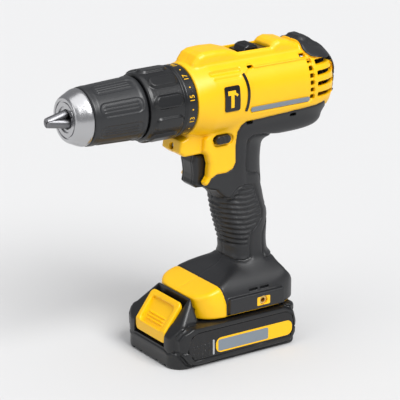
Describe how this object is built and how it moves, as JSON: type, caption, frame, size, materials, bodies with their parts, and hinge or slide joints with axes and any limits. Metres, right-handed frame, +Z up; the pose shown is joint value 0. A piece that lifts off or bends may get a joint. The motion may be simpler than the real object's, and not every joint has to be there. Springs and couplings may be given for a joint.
{
  "type": "cordless drill",
  "caption": "Pistol-grip cordless hammer drill driver with keyless chuck, torque collar, two-speed gearbox and a slide-on battery pack.",
  "frame": {"origin": "middle of the bounding box's underside, on the face the pack stands on", "axes": "-Y along the chuck axis towards the jaws, +X to the tool's left side, +Z up"},
  "size_m": [0.0692, 0.228, 0.218],
  "materials": {
    "yellow_plastic": "fine satin moulding",
    "soft_grip": "soft-touch overmould",
    "black_plastic": "fine moulded texture",
    "chuck_plastic": "satin moulding",
    "satin_steel": "satin, turned",
    "hard_steel": "hardened, dark",
    "gear_steel": "sintered",
    "zinc_steel": "zinc plated",
    "gear_case": "glass-filled nylon",
    "brass": "machined",
    "lamp_lens": "clear",
    "plate_black": "printed plate",
    "magnet": "ferrite",
    "copper": "copper",
    "carbon": "carbon",
    "core_steel": "varnished laminations",
    "lead_red": "insulation",
    "lead_black": "insulation",
    "terminal_orange": "moulded",
    "cell_wrap": "shrink wrap",
    "knob_black": "polished"
  },
  "bodies": {
    "housing": {"housing_left": "yellow_plastic", "housing_right": "yellow_plastic", "grip_left": "soft_grip", "grip_right": "soft_grip", "rear_bumper": "soft_grip", "housing_screws": "zinc_steel", "side_plates": "plate_black", "led_lamp": "lamp_lens", "belt_hook_inserts": "brass", "gear_housing": "gear_case", "clutch_balls": "zinc_steel", "clutch_washer": "zinc_steel", "clutch_spring": "zinc_steel", "ring_gear_front": "gear_steel", "ring_gear_rear": "gear_steel", "ratchet_fixed": "hard_steel", "spindle_bearing": "satin_steel", "motor_can": "zinc_steel", "motor_magnets": "magnet", "motor_end_cap": "black_plastic", "carbon_brushes": "carbon", "trigger_switch": "black_plastic", "terminal_block": "terminal_orange", "switch_leads": "lead_red", "motor_leads": "lead_black"},
    "spindle": {"spindle": "satin_steel", "carrier_front": "gear_steel", "ratchet_spindle": "hard_steel", "chuck_body": "satin_steel", "chuck_nose": "satin_steel", "chuck_screw": "hard_steel"},
    "sleeve": {"chuck_sleeve": "chuck_plastic", "chuck_nut": "hard_steel"},
    "jaw_top": {"jaw_top": "hard_steel"},
    "jaw_left": {"jaw_left": "hard_steel"},
    "jaw_right": {"jaw_right": "hard_steel"},
    "planet_front_1": {"planet_front_1": "satin_steel"},
    "planet_front_2": {"planet_front_2": "satin_steel"},
    "planet_front_3": {"planet_front_3": "satin_steel"},
    "mid_stage": {"carrier_middle": "gear_steel", "carrier_rear": "gear_steel", "planets_middle": "satin_steel"},
    "planet_rear_1": {"planet_rear_1": "satin_steel"},
    "planet_rear_2": {"planet_rear_2": "satin_steel"},
    "planet_rear_3": {"planet_rear_3": "satin_steel"},
    "shift_ring": {"shift_ring": "gear_steel"},
    "rotor": {"rotor_shaft": "satin_steel", "pinion_gear": "gear_steel", "rotor_core": "core_steel", "commutator": "copper", "cooling_fan": "black_plastic"},
    "collar": {"torque_collar": "black_plastic"},
    "clutch_nut": {"clutch_nut": "brass"},
    "selector": {"speed_selector": "knob_black"},
    "trigger": {"trigger": "black_plastic"},
    "direction_button": {"direction_button": "black_plastic"},
    "battery": {"pack_lower_shell": "black_plastic", "pack_upper_shell": "black_plastic", "pack_cells": "cell_wrap"},
    "release_button": {"release_button": "yellow_plastic"}
  },
  "joints": [
    {"name": "chuck_spin", "type": "hinge", "parent": "housing", "child": "spindle", "pos_m": [0, 0, 0.185], "axis": [0, 1, 0], "continuous": true},
    {"name": "sleeve_turn", "type": "hinge", "parent": "spindle", "child": "sleeve", "pos_m": [0, 0, 0.185], "axis": [0, 1, 0], "range_deg": [0, 3570]},
    {"name": "jaw_top_slide", "type": "slide", "parent": "spindle", "child": "jaw_top", "axis": [0, 0.9703, 0.2419], "range_m": [0, 0.0239]},
    {"name": "jaw_left_slide", "type": "slide", "parent": "spindle", "child": "jaw_left", "axis": [0.2095, 0.9703, -0.121], "range_m": [0, 0.0239]},
    {"name": "jaw_right_slide", "type": "slide", "parent": "spindle", "child": "jaw_right", "axis": [-0.2095, 0.9703, -0.121], "range_m": [0, 0.0239]},
    {"name": "mid_spin", "type": "hinge", "parent": "housing", "child": "mid_stage", "pos_m": [0, 0, 0.185], "axis": [0, 1, 0], "continuous": true},
    {"name": "rotor_spin", "type": "hinge", "parent": "housing", "child": "rotor", "pos_m": [0, 0, 0.185], "axis": [0, 1, 0], "continuous": true},
    {"name": "planet_front_1_spin", "type": "hinge", "parent": "spindle", "child": "planet_front_1", "pos_m": [0.01044, 0, 0.185], "axis": [0, 1, 0], "continuous": true},
    {"name": "planet_rear_1_spin", "type": "hinge", "parent": "mid_stage", "child": "planet_rear_1", "pos_m": [0.01044, 0, 0.185], "axis": [0, 1, 0], "continuous": true},
    {"name": "planet_front_2_spin", "type": "hinge", "parent": "spindle", "child": "planet_front_2", "pos_m": [-0.00522, 0, 0.17596], "axis": [0, 1, 0], "continuous": true},
    {"name": "planet_rear_2_spin", "type": "hinge", "parent": "mid_stage", "child": "planet_rear_2", "pos_m": [-0.00522, 0, 0.17596], "axis": [0, 1, 0], "continuous": true},
    {"name": "planet_front_3_spin", "type": "hinge", "parent": "spindle", "child": "planet_front_3", "pos_m": [-0.00522, 0, 0.19404], "axis": [0, 1, 0], "continuous": true},
    {"name": "planet_rear_3_spin", "type": "hinge", "parent": "mid_stage", "child": "planet_rear_3", "pos_m": [-0.00522, 0, 0.19404], "axis": [0, 1, 0], "continuous": true},
    {"name": "speed_slide", "type": "slide", "parent": "housing", "child": "selector", "axis": [0, 1, 0], "range_m": [-0.0055, 0]},
    {"name": "shift_ring_slide", "type": "slide", "parent": "mid_stage", "child": "shift_ring", "axis": [0, 1, 0], "range_m": [-0.0056, 0.0001]},
    {"name": "collar_turn", "type": "hinge", "parent": "housing", "child": "collar", "pos_m": [0, 0, 0.185], "axis": [0, 1, 0], "range_deg": [0, 300]},
    {"name": "clutch_nut_slide", "type": "slide", "parent": "collar", "child": "clutch_nut", "axis": [0, 1, 0], "range_m": [0, 0.0026]},
    {"name": "trigger_pull", "type": "slide", "parent": "housing", "child": "trigger", "axis": [0, 1, 0], "range_m": [0, 0.007], "stiffness_N_per_m": 900, "springref_m": -0.004},
    {"name": "direction_slide", "type": "slide", "parent": "housing", "child": "direction_button", "axis": [1, 0, 0], "range_m": [-0.003, 0.003]},
    {"name": "battery_slide", "type": "slide", "parent": "housing", "child": "battery", "axis": [0, -1, 0], "range_m": [0, 0.085]},
    {"name": "release_press", "type": "slide", "parent": "battery", "child": "release_button", "axis": [0, 0.8139, -0.581], "range_m": [0, 0.003], "stiffness_N_per_m": 1500, "springref_m": -0.003}
  ],
  "couplings": [
    {"joint": "jaw_top_slide", "follows": "sleeve_turn", "m_per_rad": 0.00038197},
    {"joint": "jaw_left_slide", "follows": "sleeve_turn", "m_per_rad": 0.00038197},
    {"joint": "jaw_right_slide", "follows": "sleeve_turn", "m_per_rad": 0.00038197},
    {"joint": "mid_spin", "follows": "chuck_spin", "ratio": 4},
    {"joint": "rotor_spin", "follows": "chuck_spin", "ratio": 16},
    {"joint": "planet_front_1_spin", "follows": "chuck_spin", "ratio": -3},
    {"joint": "planet_rear_1_spin", "follows": "chuck_spin", "ratio": -12},
    {"joint": "planet_front_2_spin", "follows": "chuck_spin", "ratio": -3},
    {"joint": "planet_rear_2_spin", "follows": "chuck_spin", "ratio": -12},
    {"joint": "planet_front_3_spin", "follows": "chuck_spin", "ratio": -3},
    {"joint": "planet_rear_3_spin", "follows": "chuck_spin", "ratio": -12},
    {"joint": "shift_ring_slide", "follows": "speed_slide", "ratio": 1},
    {"joint": "clutch_nut_slide", "follows": "collar_turn", "m_per_rad": 0.00047746}
  ]
}
